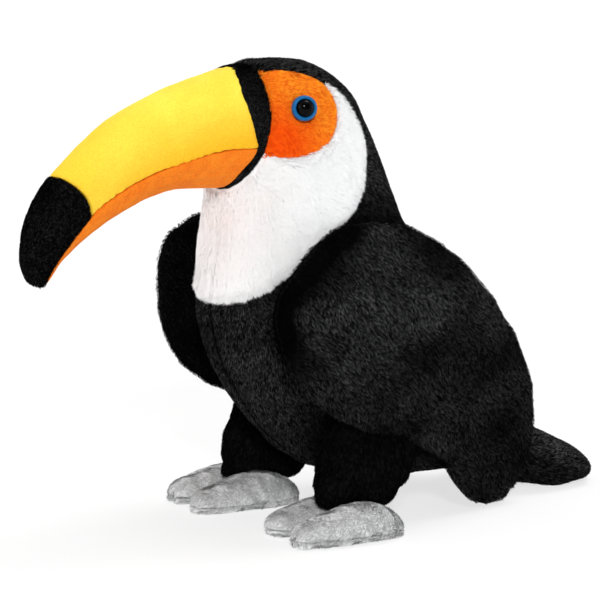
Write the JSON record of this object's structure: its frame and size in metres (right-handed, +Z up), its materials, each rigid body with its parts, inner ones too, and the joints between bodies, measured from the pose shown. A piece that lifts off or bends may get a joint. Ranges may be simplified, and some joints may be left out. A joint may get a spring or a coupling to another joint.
{
  "type": "stuffed toy toucan",
  "caption": "Standing plush toucan toy with a large curved velour beak, black body, white bib, orange cheeks and flat grey feet.",
  "frame": {"origin": "middle of the bounding box at floor level, under the rear of the feet", "axes": "+Z up; the beak points along -Y, the tail along +Y, and the bird's left side is +X"},
  "size_m": [0.1579, 0.377, 0.259],
  "materials": {
    "yellow_velour": "short velour pile",
    "orange_velour": "short velour pile",
    "black_velour": "short pile",
    "black_plush": "soft pile about 4 mm long",
    "orange_plush": "soft pile about 3 mm long",
    "white_plush": "soft pile about 5 mm long",
    "grey_velour": "crushed short pile",
    "eye_rim": "glossy moulded plastic",
    "eye_pupil": "glossy domed plastic"
  },
  "bodies": {
    "root": {"beak_upper": "yellow_velour", "beak_lower": "orange_velour", "beak_tip": "black_velour", "beak_band": "black_velour", "head": "black_plush", "neck": "black_plush", "face_left": "orange_plush", "face_right": "orange_plush", "bib": "white_plush", "trunk": "black_plush", "wing_left": "black_plush", "wing_right": "black_plush", "tail": "black_plush", "leg_left": "black_plush", "leg_right": "black_plush", "foot_left_outer_toe": "grey_velour", "foot_left_inner_toe": "grey_velour", "foot_right_outer_toe": "grey_velour", "foot_right_inner_toe": "grey_velour", "eye_left_rim": "eye_rim", "eye_right_rim": "eye_rim", "eye_left_pupil": "eye_pupil", "eye_right_pupil": "eye_pupil"}
  },
  "joints": []
}
